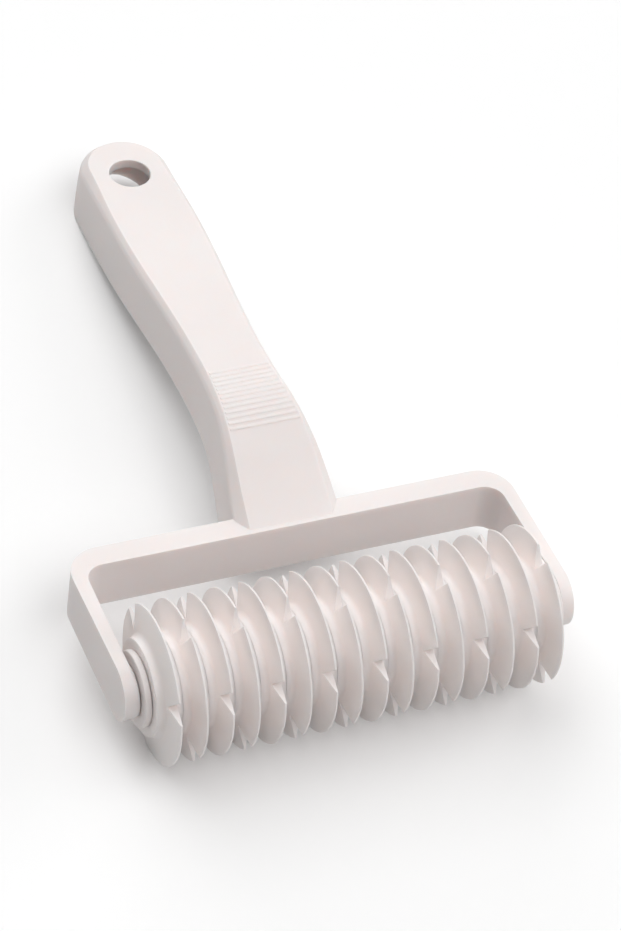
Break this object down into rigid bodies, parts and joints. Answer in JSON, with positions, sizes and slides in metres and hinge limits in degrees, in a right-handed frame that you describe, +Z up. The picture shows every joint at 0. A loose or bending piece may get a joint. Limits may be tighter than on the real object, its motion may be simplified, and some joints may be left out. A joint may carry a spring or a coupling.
{
  "type": "lattice pastry cutter",
  "caption": "Roller of notched cutting discs on an axle, held in a yoke with a cranked hollow handle, for slitting dough or pastry into a lattice.",
  "frame": {"origin": "middle of the resting part's footprint, on the surface that it rests on", "axes": "+X along the roller's axle, to the right seen from in front of the roller; +Y from the roller towards the tip of the handle; +Z up from the surface"},
  "size_m": [0.1212, 0.1988, 0.041],
  "materials": {
    "frame_plastic": "satin white moulded plastic",
    "disc_plastic": "satin white moulded plastic",
    "axle_plastic": "satin white moulded plastic",
    "collar_plastic": "satin white moulded plastic"
  },
  "bodies": {
    "handle": {"handle_frame": "frame_plastic"},
    "roller": {"hex_axle": "axle_plastic", "cutting_disc_01": "disc_plastic", "cutting_disc_02": "disc_plastic", "cutting_disc_03": "disc_plastic", "cutting_disc_04": "disc_plastic", "cutting_disc_05": "disc_plastic", "cutting_disc_06": "disc_plastic", "cutting_disc_07": "disc_plastic", "cutting_disc_08": "disc_plastic", "cutting_disc_09": "disc_plastic", "cutting_disc_10": "disc_plastic", "cutting_disc_11": "disc_plastic", "cutting_disc_12": "disc_plastic", "cutting_disc_13": "disc_plastic", "cutting_disc_14": "disc_plastic", "cutting_disc_15": "disc_plastic", "cutting_disc_16": "disc_plastic", "left_end_collar": "collar_plastic", "right_end_collar": "collar_plastic"}
  },
  "joints": [
    {"name": "roller_spin", "type": "hinge", "parent": "handle", "child": "roller", "pos_m": [0, -0.07892, 0.0205], "axis": [1, 0, 0], "continuous": true}
  ]
}
